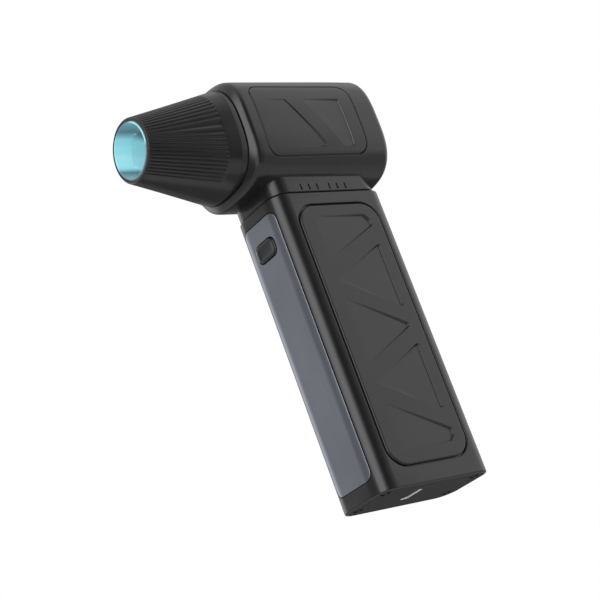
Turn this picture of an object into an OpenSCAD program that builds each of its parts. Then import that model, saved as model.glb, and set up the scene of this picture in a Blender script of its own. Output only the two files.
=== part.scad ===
// Handheld car dryer blower: a short turbo fan head with a ribbed nozzle on a battery handle.
// X runs along the head, with the nozzle towards -X. Z is up, along the handle.
// The origin is the centre of the handle's bottom face. Millimetres.

/* [Handle] */
// Size of the handle from front to back
handle_x = 44; // [43.6:0.2:46]
// Thickness of the handle from side to side
handle_y = 23; // [22.8:0.2:24]
// Height of the seam between the handle and the neck
handle_z = 94.4; // [94:0.2:96]
// Radius of the handle's upright corners
handle_r = 6; // [5:0.5:7]
// Wall thickness of the handle shell
wall = 2; // [1.8:0.1:2]

/* [Head] */
// Height of the head's axis, which is also the fan's axis
axis_z = 116; // [115.5:0.5:118]
// Half the width of the head's rounded square section
head_h = 18.4; // [18.2:0.1:19]
// Squareness of the head's section: 2 is a circle
head_n = 3.1; // [2.9:0.1:3.5]
// Place of the head's rear end
head_back = 25.8; // [25.6:0.1:26.4]
// Place of the head's front lip
head_front = -28; // [-28.4:0.1:-27.8]

/* [Nozzle] */
// Place of the outlet
tip_x = -57.7; // [-60:0.5:-55]
// Outer radius of the nozzle at its tip
tip_r = 9.65; // [9.5:0.05:10]
// Half the width of the nozzle at its base
base_h = 15.9; // [15.8:0.1:16.2]
// Number of lengthwise ribs
ribs = 72; // [48:6:84]
// Depth of the grooves between the ribs
rib_depth = 0.35; // [0.2:0.05:0.4]

/* [Fan] */
// Bore of the fan duct
duct_r = 13.9; // [13.7:0.05:14]
// Number of impeller blades
blades = 11; // [7:1:13]
// Number of straightening vanes
vanes = 9; // [5:2:11]

/* [Battery] */
// Diameter of one cell
cell_d = 18.3; // [18:0.1:18.5]
// Length of one cell
cell_len = 65; // [64:0.5:65.2]

/* [Button] */
// Height of the power button's centre
button_z = 81.1; // [80:0.1:82]
// Travel of the power button
button_travel = 0.5; // [0.3:0.1:0.5]

/* [Hidden] */
$fn = 64;

gap = 0.2;              // play between fixed pieces
seam = 0.3;             // open seam between neighbouring covers
front_x = -handle_x / 2;
side_y = handle_y / 2;
inner_x = handle_x / 2 - wall;
inner_y = handle_y / 2 - wall;
head_wall = 1.8;

// side grip: an inset panel with sunken triangles
grip_w = 31.2;
grip_low = 5.9;
grip_high = 89.6;
grip_r = 6.5;
grip_thick = 1.1;
grip_proud = 0.25;
groove = 0.6;
facet_depth = 0.55;
facet_left = -10;
facet_right = 11.2;
facet_pitch = 16.7;     // height from one triangle's middle to the next
facet_mid = 48.1;       // height of the middle triangle
facet_half = 10.6;      // half the height of a triangle's long side

// head inlay: a thin panel that follows the head's side
inlay_x0 = -21.9;
inlay_x1 = 16.3;
inlay_half = 12;
inlay_r = 4;
inlay_thick = 0.8;
inlay_sink = 0.45;
facet_top = 6.6;
facet_low = -9.5;

// trim plate, button and its switch
trim_w = 16.7;
trim_low = 4.65;
trim_high = 90.3;
trim_r = 2.8;
trim_thick = 0.9;
button_w = 9.2;
button_h = 5.6;
button_r = 2;
button_proud = 0.3;
flange_x = front_x + 2.1;
flange_thick = 0.8;
switch_x = -16.6;
stem_end = switch_x - button_travel - 0.1;
plunger_end = switch_x + 0.7;
switch_thick = 2.2;
board_thick = 1;

// main board
main_x0 = -13.1;
main_x1 = 17;
main_y = 4.4;
main_z0 = 77.6;
main_z1 = 91.6;

// bottom end
cap_inset = 1.3;
cap_thick = 2.2;
screw_x = 17.6;
screw_y = 6.8;
usb_x = -2.2;
usb_w = 8.94;
usb_t = 3.26;
usb_skin = 0.3;
charge_z = 7.6;
holder_z = 9.1;
cell_z = 10.2;
cell_x = cell_d / 2 + 0.2;
strip_thick = 0.15;
cell_top = cell_z + cell_len;

// neck
neck_plug = 4;
neck_inset = 1.4;       // the neck's back stands in from the handle's back
neck_lean = 12;
wire_x = 24;            // passage for the leads between neck and head
wire_y = 11;
screw_holes = [-14.8, 14.4];
slit_pitch = 3.15;
slit_w = 0.5;
slit_h = 2.2;
slit_groups = [-7.2, 3.8];

// nozzle
nozzle_back = head_front + 4;
shoulder_x = head_front - 0.5;
cone_x = head_front - 1.5;
rib_x0 = -33.5;
rib_x1 = -56.9;
tip_wall = 1.05;
base_bore = 14.2;
bore_x = -30;
liner_thick = 0.4;
liner_back = -30.6;
land = 5.7;
led_x = -29.6;
led_count = 12;

// fan and motor
duct_front = -12;
duct_back = 16;
duct_skin = 1.1;
hub_r = 7.4;
hub_bore = 6.6;
hub_front = -12.5;
hub_back = 3.5;
seat_x = -9.8;
bearing_r = 3.5;
shaft_r = 1.5;
run = 0.03;             // running clearance round the shaft
shaft_front = -12.3;
shaft_back = 14.6;
core_x = -8;
core_len = 8;
core_r = 6.45;
coil_ring = 4.75;
coil_r = 1.05;
coils = 6;
magnet_r = 2.8;
imp_x = 4.5;
imp_len = 7.6;
blade_gap = 0.3;
lead_x = [-5.6, -4.2, -2.8];
lead_r = 0.5;

// ---------------------------------------------------------------- helpers

// rounded rectangle with true arcs at its corners
module round_rect(w, d, r) {
    square([w - 2 * r, d], center = true);
    square([w, d - 2 * r], center = true);
    for (x = [-1, 1], y = [-1, 1]) translate([x * (w / 2 - r), y * (d / 2 - r)]) circle(r);
}

// extrudes a flat outline (y, z) from x0 to x1
module from_to_x(x0, x1) {
    translate([x0, 0, 0]) rotate([90, 0, 90]) linear_extrude(x1 - x0) children();
}

// extrudes a flat outline (x, z) on the -Y side, from y0 outwards to y1
module from_to_y(y0, y1) {
    translate([0, -y0, 0]) rotate([90, 0, 0]) linear_extrude(y1 - y0) children();
}

// turns a profile of [x, r] points about the head's axis
module turned(profile) {
    translate([0, 0, axis_z]) rotate([0, 90, 0]) rotate_extrude() polygon([for (p = profile) [p[1], p[0]]]);
}

module disc_x(x0, x1, r) {
    translate([x0, 0, axis_z]) rotate([0, 90, 0]) cylinder(h = x1 - x0, r = r);
}

module tube_x(x0, x1, r_out, r_in) {
    difference() {
        disc_x(x0, x1, r_out);
        disc_x(x0 - 1, x1 + 1, r_in);
    }
}

module around(count, start = 0) {
    for (i = [0 : count - 1])
        translate([0, 0, axis_z]) rotate([start + 360 * i / count, 0, 0]) children();
}

// superellipse point: n = 2 is a circle, more is squarer
function super_pt(a, h, n) = [h * sign(cos(a)) * pow(abs(cos(a)), 2 / n),
    h * sign(sin(a)) * pow(abs(sin(a)), 2 / n)];

function section(h, n, m = 64) = [for (i = [0 : m - 1]) super_pt(360 * i / m, h, n)];

// closed tube through rings of [x, half width, squareness, groove depth]; odd points are cut in
module loft(rings, m) {
    pts = [for (ring = rings, i = [0 : m - 1])
        let (p = super_pt(360 * i / m, ring[1] - (i % 2) * ring[3], ring[2])) [ring[0], p[0], p[1] + axis_z]];
    last = len(rings);
    polyhedron(points = pts, faces = [for (k = [0 : last - 1], i = [0 : m - 1], half = [0, 1])
        let (a = k * m + i, b = k * m + (i + 1) % m, c = ((k + 1) % last) * m + i,
            d = ((k + 1) % last) * m + (i + 1) % m) half == 0 ? [a, b, c] : [b, d, c]], convexity = 8);
}

module head_section_prism(x0, x1, h) {
    from_to_x(x0, x1) translate([0, axis_z]) polygon(section(h, head_n));
}

// ---------------------------------------------------------------- nozzle

function cone_t(x) = (cone_x - x) / (cone_x - tip_x);
function cone_h(x) = base_h + (tip_r - base_h) * cone_t(x);
function cone_n(x) = 2.7 - 0.7 * cone_t(x);
function bore_h(x) = base_bore + (tip_r - tip_wall - base_bore) * (bore_x - x) / (bore_x - tip_x);

module nozzle_shell() {
    spigot = head_h - head_wall - gap - 0.2;
    color("#26282a") loft([
        [nozzle_back, spigot, head_n, 0],
        [head_front + 0.3, spigot, head_n, 0],
        [head_front - 0.2, base_h + 0.5, head_n - 0.2, 0],
        [shoulder_x, base_h + 0.45, head_n - 0.3, 0],
        [cone_x, base_h, 2.7, 0],
        [rib_x0, cone_h(rib_x0), cone_n(rib_x0), 0],
        [rib_x0 - 0.3, cone_h(rib_x0 - 0.3), cone_n(rib_x0), rib_depth],
        [rib_x1 + 0.8, cone_h(rib_x1 + 0.8), cone_n(rib_x1), rib_depth],
        [rib_x1, cone_h(rib_x1), cone_n(rib_x1), 0],
        [tip_x + 0.25, tip_r - 0.2, 2, 0],
        [tip_x, tip_r - 0.65, 2, 0],
        [tip_x, tip_r - tip_wall, 2, 0],
        [bore_x, base_bore, 2, 0],
        [nozzle_back, base_bore + 0.8, 2, 0]
    ], 2 * ribs);
}

module nozzle_liner() {
    r0 = tip_r - tip_wall - 0.1;
    color("#7fcdd4") turned([
        [tip_x + 0.1, r0],
        [tip_x, r0 - 0.1],
        [tip_x, r0 - liner_thick + 0.1],
        [tip_x + 0.1, r0 - liner_thick],
        [tip_x + land, r0 - liner_thick],
        [liner_back, bore_h(liner_back) - 0.1 - liner_thick],
        [liner_back, bore_h(liner_back) - 0.1]
    ]);
}

module led_board() {
    color("#1d5a3a") tube_x(led_x, led_x + board_thick, 14.1, 12.7);
}

module leds() {
    color("#f4f7e6") around(led_count) translate([led_x - 0.8, -0.8, 12.9]) cube([0.8, 1.6, 1]);
}

// ---------------------------------------------------------------- head

module inlay_outline(grow) {
    translate([(inlay_x0 + inlay_x1) / 2, axis_z])
        round_rect(inlay_x1 - inlay_x0 + 2 * grow, 2 * inlay_half + 2 * grow, inlay_r + grow);
}

module head_shell() {
    inner = head_h - head_wall;
    color("#2b2d2f") difference() {
        loft([
            [head_front, head_h - 1.5, head_n - 0.1, 0],
            [head_front + 1, head_h - 0.92, head_n, 0],
            [head_front + 2.2, head_h - 0.42, head_n, 0],
            [head_front + 3.4, head_h - 0.1, head_n, 0],
            [head_front + 4.5, head_h, head_n, 0],
            [head_back - 4.5, head_h, head_n, 0],
            [head_back - 2.8, head_h - 0.33, head_n, 0],
            [head_back - 1.3, head_h - 1.32, head_n, 0],
            [head_back - 0.35, head_h - 2.8, head_n, 0],
            [head_back, head_h - 4.5, head_n - 0.2, 0],
            [head_back, 13.2, 2, 0],
            [head_back - head_wall, 13.2, 2, 0],
            [head_back - head_wall, inner - 1, head_n, 0],
            [head_back - head_wall - 1, inner, head_n, 0],
            [head_front, inner, head_n, 0]
        ], 64);
        for (side = [0, 1]) mirror([0, side, 0]) difference() {
            from_to_y(head_h - 6, head_h + 1) inlay_outline(0.3);
            head_section_prism(inlay_x0 - 2, inlay_x1 + 2, head_h - inlay_thick - 0.05);
        }
        translate([0, 0, axis_z - head_h - 1]) linear_extrude(6) round_rect(wire_x, wire_y, 3);
        for (x = screw_holes) translate([x, 0, axis_z - head_h - 1]) cylinder(h = 6, r = 1.2);
    }
}

// one sunken facet of the inlay: it starts at the surface at x0 and sinks to the right
module inlay_facet(x0, length, points) {
    translate([x0, -head_h + 0.05, 0]) rotate([0, 0, atan(inlay_sink / length)])
        from_to_y(0, 3) translate([0, axis_z]) polygon(points);
}

module head_inlay_left() {
    color("#323436") intersection() {
        difference() {
            head_section_prism(inlay_x0 - 1, inlay_x1 + 1, head_h + 0.1);
            head_section_prism(inlay_x0 - 2, inlay_x1 + 2, head_h - inlay_thick);
            inlay_facet(-19, 19.4, [[0, facet_top], [8.8, facet_top], [19.4, facet_low], [0, facet_low]]);
            inlay_facet(-2.8, 13.8, [[0, facet_top], [13.8, facet_top], [13.8, facet_low], [10.6, facet_low]]);
        }
        from_to_y(head_h - 5.6, head_h + 1) inlay_outline(0);
    }
}

module head_inlay_right() {
    mirror([0, 1, 0]) head_inlay_left();
}

module rear_grille() {
    color("#26282a") {
        for (r = [[13, 11.9], [10.6, 9.7], [8.4, 7.5], [6.2, 5.3]])
            tube_x(head_back - 2, head_back - 0.6, r[0], r[1]);
        disc_x(head_back - 2, head_back - 0.4, 3.6);
        around(6) translate([head_back - 1.9, -0.6, 3.2]) cube([1.2, 1.2, 9.2]);
        tube_x(head_back - 3.2, head_back - 1.9, 14.4, 12.4);
    }
}

module intake_filter() {
    pitch = 1.7;
    color("#8b8f92") difference() {
        disc_x(head_back - 3.9, head_back - 3.5, 14.2);
        for (i = [-7 : 7], j = [-7 : 7])
            if (norm([i, j]) * pitch < 12.6)
                translate([head_back - 5, i * pitch, axis_z + j * pitch]) rotate([0, 90, 0])
                    cylinder(h = 3, r = 0.62);
    }
}

module inlet_ring() {
    x0 = duct_back + 0.1;
    color("#3a3c3e") turned([
        [x0, duct_r + duct_skin],
        [x0, duct_r],
        [x0 + 1.4, duct_r + 0.25],
        [x0 + 2.6, duct_r + 0.9],
        [x0 + 3.1, duct_r + 1.5],
        [x0 + 3.1, duct_r + 1.9],
        [x0 + 2.2, duct_r + 1.9]
    ]);
}

// ---------------------------------------------------------------- fan and motor

module fan_housing() {
    color("#9fa3a6") difference() {
        union() {
            tube_x(duct_front, duct_back, duct_r + duct_skin, duct_r);
            tube_x(hub_front, hub_back, hub_r, hub_bore);
            tube_x(hub_front, seat_x, hub_r - 0.1, bearing_r + 0.02);
            around(vanes, 20) translate([-10.5, -0.45, hub_r - 0.4]) cube([9, 0.9, duct_r - hub_r + 0.8]);
        }
        for (x = lead_x) translate([x, main_y - lead_r, axis_z - duct_r - 3])
            cylinder(h = duct_r - 2, r = lead_r + 0.15);
    }
}

module damper(x0) {
    tube_x(x0, x0 + 4, head_h - head_wall - 0.25, duct_r + duct_skin + 0.05);
}

module front_damper() {
    color("#141516") damper(-11);
}

module rear_damper() {
    color("#141516") damper(7);
}

module air_guide() {
    color("#3a3c3e") turned([
        [duct_front - 0.1, duct_r + duct_skin],
        [duct_front - 0.1, duct_r],
        [led_x + board_thick + 0.1, 13.3],
        [led_x + board_thick + 0.1, 14.1],
        [nozzle_back + 0.2, 14.6]
    ]);
}

module tail_cone() {
    color("#1c1d1f") turned(concat([[hub_front - 0.05, 0]],
        [for (a = [90 : -10 : 0]) [hub_front - 0.05 - 9.5 * cos(a), hub_r * sin(a)]]));
}

module stator_core() {
    color("#6d7276") difference() {
        tube_x(core_x, core_x + core_len, core_r, magnet_r + 0.35);
        around(coils) translate([core_x - 1, 0, coil_ring]) rotate([0, 90, 0]) cylinder(h = 12, r = coil_r + 0.1);
    }
}

module stator_windings() {
    color("#b5652a") around(coils) translate([core_x - 1.2, 0, coil_ring]) rotate([0, 90, 0])
        cylinder(h = core_len + 2.2, r = coil_r);
}

module rotor_magnet() {
    color("#55595c") tube_x(core_x + 0.5, core_x + core_len - 0.5, magnet_r, shaft_r);
}

module motor_shaft() {
    color("#c9cccf") disc_x(shaft_front, shaft_back, shaft_r);
}

module impeller() {
    stagger = 38;
    color("#c2c6c9") difference() {
        union() {
            turned([
                [imp_x, 0], [imp_x, hub_r - 0.1], [imp_x + 2.5, hub_r - 0.3], [imp_x + 5, hub_r - 1.4],
                [imp_x + imp_len, hub_r - 3.6], [imp_x + imp_len, 0]]);
            intersection() {
                around(blades) translate([imp_x + 3.4, 0, 3]) rotate([0, 0, stagger])
                    translate([-4.6, -0.35, 0]) cube([9.2, 0.7, 12]);
                disc_x(imp_x + 0.2, imp_x + 6.8, duct_r - blade_gap);
            }
        }
        disc_x(imp_x - 1, imp_x + imp_len + 1, shaft_r);
    }
}

module impeller_nut() {
    color("#b08d3c") difference() {
        translate([imp_x + imp_len + 0.05, 0, axis_z]) rotate([0, 90, 0]) cylinder(h = 2, r = 2.9, $fn = 6);
        disc_x(imp_x + imp_len - 1, imp_x + imp_len + 3, shaft_r);
    }
}

module bearing(x0) {
    width = 2.2;
    color("#b9bcbe") {
        tube_x(x0, x0 + width, bearing_r, bearing_r - 0.5);
        tube_x(x0, x0 + width, shaft_r + 0.5, shaft_r + run);
        tube_x(x0 + 0.2, x0 + width - 0.2, bearing_r - 0.5, shaft_r + 0.5);
    }
}

module front_bearing() {
    bearing(hub_front + 0.3);
}

module rear_bearing() {
    bearing(1.25);
}

module motor_end_plate() {
    color("#8d9194") tube_x(1.2, hub_back, hub_bore - 0.05, bearing_r + 0.02);
}

module motor_leads() {
    color("#c23b2e") for (x = lead_x)
        translate([x, main_y - lead_r, main_z1 - 2]) cylinder(h = axis_z - 5.7 - main_z1 + 2, r = lead_r);
}

// ---------------------------------------------------------------- neck

module neck_collar() {
    top = axis_z - 8;
    color("#2b2d2f") difference() {
        union() {
            intersection() {
                translate([0, 0, handle_z]) linear_extrude(top - handle_z)
                    round_rect(handle_x, handle_y, handle_r);
                translate([handle_x / 2 - neck_inset, 0, handle_z]) rotate([0, -neck_lean, 0])
                    translate([-30, 0, -1]) linear_extrude(30) round_rect(60, handle_y, handle_r);
            }
            translate([0, 0, handle_z - neck_plug]) linear_extrude(neck_plug + 0.5)
                round_rect(2 * inner_x - 0.4, 2 * inner_y - 0.4, handle_r - wall);
        }
        translate([0, 0, handle_z - neck_plug - 1]) linear_extrude(neck_plug + 2.2)
            round_rect(2 * inner_x - 3.4, 2 * inner_y - 3.4, handle_r - wall - 1);
        translate([0, 0, handle_z]) linear_extrude(10) round_rect(wire_x, wire_y, 3);
        head_section_prism(-30, 30, head_h + 0.05);
        for (g = slit_groups, k = [-1 : 1], side = [0, 1]) mirror([0, side, 0])
            translate([g + k * slit_pitch - slit_w / 2, -side_y - 1, handle_z + 0.5])
                cube([slit_w, 5, slit_h]);
        for (x = screw_holes) translate([x, 0, handle_z]) cylinder(h = 10, r = 1.2);
    }
}

module neck_screws() {
    color("#a9acae") for (x = screw_holes) {
        translate([x, 0, handle_z - 1.1]) cylinder(h = 2.2, r = 2);
        translate([x, 0, handle_z]) cylinder(h = 6.2, r = 1.1);
    }
}

// ---------------------------------------------------------------- handle

module grip_outline(grow) {
    translate([0, (grip_low + grip_high) / 2])
        round_rect(grip_w + 2 * grow, grip_high - grip_low + 2 * grow, grip_r + grow);
}

module trim_outline(grow) {
    translate([0, (trim_low + trim_high) / 2])
        round_rect(trim_w + 2 * grow, trim_high - trim_low + 2 * grow, trim_r + grow);
}

module button_outline(grow) {
    translate([0, button_z]) round_rect(button_w + 2 * grow, button_h + 2 * grow, button_r + grow);
}

module at_screws() {
    for (x = [-1, 1], y = [-1, 1]) translate([x * screw_x, y * screw_y, 0]) children();
}

// the handle's outline as a solid, taken in by a margin all round
module handle_core(margin) {
    translate([0, 0, -2]) linear_extrude(handle_z)
        round_rect(handle_x - 2 * margin, handle_y - 2 * margin, handle_r - margin);
}

module handle_shell() {
    color("#2b2d2f") difference() {
        union() {
            difference() {
                linear_extrude(handle_z - seam) round_rect(handle_x, handle_y, handle_r);
                translate([0, 0, -1]) linear_extrude(handle_z + 2)
                    round_rect(2 * inner_x, 2 * inner_y, handle_r - wall);
            }
            intersection() {
                at_screws() translate([0, 0, cap_thick + 0.1]) cylinder(h = 6, r = 2.4);
                linear_extrude(20) round_rect(2 * inner_x + 1, 2 * inner_y + 1, handle_r - wall);
            }
        }
        translate([0, 0, -1]) linear_extrude(1 + cap_thick + 0.05)
            round_rect(handle_x - 2 * cap_inset + 0.3, handle_y - 2 * cap_inset + 0.3, handle_r - cap_inset + 0.15);
        at_screws() cylinder(h = 20, r = 0.95);
        for (side = [0, 1]) mirror([0, side, 0])
            from_to_y(side_y - grip_thick + grip_proud - 0.05, side_y + 1) grip_outline(groove);
        difference() {
            from_to_x(front_x - 1, front_x + 4) trim_outline(0.25);
            handle_core(trim_thick + 0.05);
        }
        from_to_x(front_x - 1, front_x + 4) button_outline(0.35);
    }
}

// one sunken triangle: its floor starts at the surface on the left and sinks to the right
module grip_facet(points) {
    tilt = atan(facet_depth / (facet_right - facet_left));
    translate([facet_left, -side_y - grip_proud, 0]) rotate([0, 0, tilt])
        translate([-facet_left, 0, 0]) from_to_y(0, 3) polygon(points);
}

module side_grip_left() {
    color("#303234") difference() {
        from_to_y(side_y - grip_thick + grip_proud, side_y + grip_proud) grip_outline(0);
        for (dir = [-1, 1]) {
            mid = facet_mid + dir * facet_pitch;
            far = facet_mid + dir * 37.4;
            grip_facet([[facet_right, mid - facet_half], [facet_right, mid + facet_half],
                [facet_left + 0.6, mid]]);
            grip_facet([[facet_left - 0.4, far], [facet_right - 1, far], [facet_right, far - dir],
                [facet_right, far - dir * 3.2], [facet_left - 0.4, far - dir * 14]]);
        }
        grip_facet([[facet_left - 0.5, facet_mid - facet_half], [facet_left - 0.5, facet_mid + facet_half],
            [facet_right - 1, facet_mid + 0.4], [facet_right - 1, facet_mid - 0.4]]);
    }
}

module side_grip_right() {
    mirror([0, 1, 0]) side_grip_left();
}

module front_trim_plate() {
    color("#686c76") difference() {
        intersection() {
            handle_core(0);
            from_to_x(front_x - 1, front_x + 4) trim_outline(0);
        }
        handle_core(trim_thick);
        from_to_x(front_x - 1, front_x + 2) button_outline(0.3);
    }
}

module power_button() {
    color("#2e3132") {
        from_to_x(front_x - button_proud, flange_x + 0.1) button_outline(0);
        from_to_x(flange_x, flange_x + flange_thick) button_outline(1.1);
        translate([flange_x, 0, button_z]) rotate([0, 90, 0]) cylinder(h = stem_end - flange_x, r = 1.4);
    }
}

module switch_plunger() {
    color("#d8d4c8") translate([stem_end, 0, button_z]) rotate([0, 90, 0])
        cylinder(h = plunger_end - stem_end, r = 1);
}

module tact_switch() {
    color("#4a4d50") difference() {
        translate([switch_x, -3, button_z - 3]) cube([switch_thick, 6, 6]);
        translate([switch_x - 1, 0, button_z]) rotate([0, 90, 0])
            cylinder(h = plunger_end - switch_x + button_travel + 1.2, r = 1.1);
    }
}

module switch_board() {
    color("#1d5a3a") translate([switch_x + switch_thick, -6.5, 77.2]) cube([board_thick, 13, 11.5]);
}

// ---------------------------------------------------------------- electronics and battery

module main_board() {
    color("#1d5a3a") translate([main_x0, main_y, main_z0])
        cube([main_x1 - main_x0, board_thick, main_z1 - main_z0]);
}

module board_chips() {
    color("#1a1b1c") {
        for (x = [-10.5, -6, -1.5]) translate([x, main_y - 1, main_z0 + 1.5]) cube([3.4, 1, 4.4]);
        for (x = [-10.5, -6, -1.5]) translate([x, main_y - 1, main_z0 + 7.5]) cube([3.4, 1, 2.6]);
        translate([3.6, main_y - 1.2, main_z0 + 2]) cube([5, 1.2, 5]);
    }
}

module filter_capacitor() {
    color("#2c4a7c") translate([13.4, main_y - 3.3, main_z0 + 1]) cylinder(h = 9, r = 3.2);
}

module cell(sign_x) {
    color("#3f8f5a") translate([sign_x * cell_x, 0, cell_z]) {
        cylinder(h = cell_len - 0.8, r = cell_d / 2);
        cylinder(h = cell_len, r = 3.2);
    }
}

module cell_front() {
    cell(-1);
}

module cell_rear() {
    cell(1);
}

module nickel_strips() {
    color("#c8cbcd") {
        translate([-cell_x - 4, -3.5, cell_z - strip_thick]) cube([2 * cell_x + 8, 7, strip_thick]);
        for (s = [-1, 1]) translate([s * cell_x - 3.5, -3, cell_top]) cube([7, 6, strip_thick]);
    }
}

// end frame of the pack, made with its plate at z = 0: posts stand in the hollows beside the cells
module cell_holder(height) {
    plate = 0.8;
    color("#d9d6cc") difference() {
        intersection() {
            linear_extrude(height) round_rect(2 * inner_x - 0.6, 2 * inner_y - 0.6, 3);
            translate([-30, -8, -1]) cube([60, 16, height + 2]);
        }
        for (s = [-1, 1]) {
            translate([s * cell_x, 0, plate]) cylinder(h = height, r = cell_d / 2 + 0.1);
            translate([s * cell_x, 0, -1]) cylinder(h = 3, r = 5);
            translate([-0.8, s * 8 - 1.6, -1]) cube([1.6, 3.2, height + 2]);
        }
        translate([-cell_x, -3.8, plate]) cube([2 * cell_x, 7.6, height]);
    }
}

module cell_holder_lower() {
    translate([0, 0, holder_z]) cell_holder(4);
}

module cell_holder_upper() {
    translate([0, 0, cell_top + 1.1]) mirror([0, 0, 1]) cell_holder(4.5);
}

module battery_leads() {
    z0 = charge_z + board_thick;
    color("#b23530") translate([0, -7.2, z0]) cylinder(h = main_z0 + 2 - z0, r = 0.6);
    color("#1c1c1e") translate([0, 7.2, z0]) cylinder(h = main_z0 + 2 - z0, r = 0.6);
}

module charge_board() {
    color("#1d5a3a") difference() {
        translate([0, 0, charge_z]) linear_extrude(board_thick) round_rect(29, 17, 1);
        for (s = [-1, 1]) translate([0, s * 7.2, charge_z - 1]) cylinder(h = 3, r = 0.6);
    }
}

module charge_chips() {
    color("#1a1b1c") {
        translate([4.5, -2.5, charge_z - 1]) cube([5, 5, 1]);
        translate([-11, -2, charge_z - 1.2]) cube([4, 4, 1.2]);
        translate([10.8, -2, charge_z - 0.9]) cube([2, 4, 0.9]);
    }
}

module usb_socket() {
    color("#cfd2d4") translate([usb_x, 0, 0.15]) difference() {
        linear_extrude(charge_z - 0.15) round_rect(usb_t, usb_w, 1.6);
        translate([0, 0, -1]) linear_extrude(charge_z - 0.15)
            round_rect(usb_t - 2 * usb_skin, usb_w - 2 * usb_skin, 1.27);
    }
}

module usb_tongue() {
    color("#1b1c1e") translate([usb_x - 0.35, -3.35, 1]) cube([0.7, 6.7, charge_z - 2]);
}

module bottom_cap() {
    color("#28292b") difference() {
        linear_extrude(cap_thick)
            round_rect(handle_x - 2 * cap_inset, handle_y - 2 * cap_inset, handle_r - cap_inset);
        translate([usb_x, 0, -1]) linear_extrude(6) round_rect(usb_t + 0.3, usb_w + 0.3, 1.75);
        at_screws() translate([0, 0, -1]) cylinder(h = 6, r = 1.1);
        at_screws() translate([0, 0, -1]) cylinder(h = 2.2, r = 1.9);
    }
}

module bottom_screws() {
    color("#3a3c3e") at_screws() {
        difference() {
            translate([0, 0, 0.4]) cylinder(h = 0.8, r = 1.75);
            for (a = [0, 90]) rotate([0, 0, a]) translate([-1.1, -0.2, 0]) cube([2.2, 0.4, 0.8]);
        }
        translate([0, 0, 1.1]) cylinder(h = 5.9, r = 0.9);
    }
}

nozzle_shell();
nozzle_liner();
led_board();
leds();
head_shell();
head_inlay_left();
head_inlay_right();
rear_grille();
intake_filter();
inlet_ring();
fan_housing();
front_damper();
rear_damper();
air_guide();
tail_cone();
stator_core();
stator_windings();
rotor_magnet();
motor_shaft();
impeller();
impeller_nut();
front_bearing();
rear_bearing();
motor_end_plate();
motor_leads();
neck_collar();
neck_screws();
handle_shell();
side_grip_left();
side_grip_right();
front_trim_plate();
power_button();
switch_plunger();
tact_switch();
switch_board();
main_board();
board_chips();
filter_capacitor();
cell_front();
cell_rear();
nickel_strips();
cell_holder_lower();
cell_holder_upper();
battery_leads();
charge_board();
charge_chips();
usb_socket();
usb_tongue();
bottom_cap();
bottom_screws();
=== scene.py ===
import math

import bmesh
import bpy
import numpy as np
from mathutils import Matrix, Quaternion, Vector
from mathutils.geometry import delaunay_2d_cdt


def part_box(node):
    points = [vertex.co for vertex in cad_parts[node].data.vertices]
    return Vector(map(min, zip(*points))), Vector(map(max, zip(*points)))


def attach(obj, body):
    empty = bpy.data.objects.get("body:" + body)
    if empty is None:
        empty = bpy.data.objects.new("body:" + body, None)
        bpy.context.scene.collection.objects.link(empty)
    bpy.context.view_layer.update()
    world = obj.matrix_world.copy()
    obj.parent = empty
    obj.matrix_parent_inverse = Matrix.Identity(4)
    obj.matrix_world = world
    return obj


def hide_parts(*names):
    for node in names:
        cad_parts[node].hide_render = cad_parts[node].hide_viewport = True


# Visual model of a handheld car dryer blower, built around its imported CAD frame.
# X runs along the head with the nozzle towards -X, and Z is up along the handle.
# Lengths are millimetres until a piece is finished, which is when MM turns them into metres.

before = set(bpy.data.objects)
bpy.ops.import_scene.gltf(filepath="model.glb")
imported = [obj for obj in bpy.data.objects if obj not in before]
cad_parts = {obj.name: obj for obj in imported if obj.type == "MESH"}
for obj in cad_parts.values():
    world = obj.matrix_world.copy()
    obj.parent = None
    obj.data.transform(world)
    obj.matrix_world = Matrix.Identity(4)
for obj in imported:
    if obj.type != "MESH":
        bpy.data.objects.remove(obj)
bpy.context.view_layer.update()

MM = 0.001
MERGE = 0.002           # points closer than this are one point
NEAR = 0.004            # slack for what lies on a line
SMOOTH = math.radians(32)
HOLD = 0.06             # width of the flat strip that keeps a face flat beside a rounded edge


def corners(node):
    """Lowest and highest corner of a CAD node."""
    low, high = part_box(node)
    return low / MM, high / MM


HANDLE_HIGH = corners("handle_shell")[1]
HEAD_LOW, HEAD_HIGH = corners("head_shell")
NOZZLE_HIGH = corners("nozzle_shell")[1]
LINER_LOW, LINER_HIGH = corners("nozzle_liner")
GRIP_LOW, GRIP_HIGH = corners("side_grip_left")
INLAY_LOW, INLAY_HIGH = corners("head_inlay_left")
TRIM_LOW, TRIM_HIGH = corners("front_trim_plate")
BUTTON_LOW, BUTTON_HIGH = corners("power_button")
CAP_LOW, CAP_HIGH = corners("bottom_cap")
USB_LOW, USB_HIGH = corners("usb_socket")
SCREW_HIGH = corners("bottom_screws")[1]

# handle
HALF_X = HANDLE_HIGH.x
HALF_Y = 11.5
CORNER = 6.0
WALL = 2.0
SKIRT = 1.15            # wall beside the bottom cap
SEAM_Z = HANDLE_HIGH.z

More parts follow.
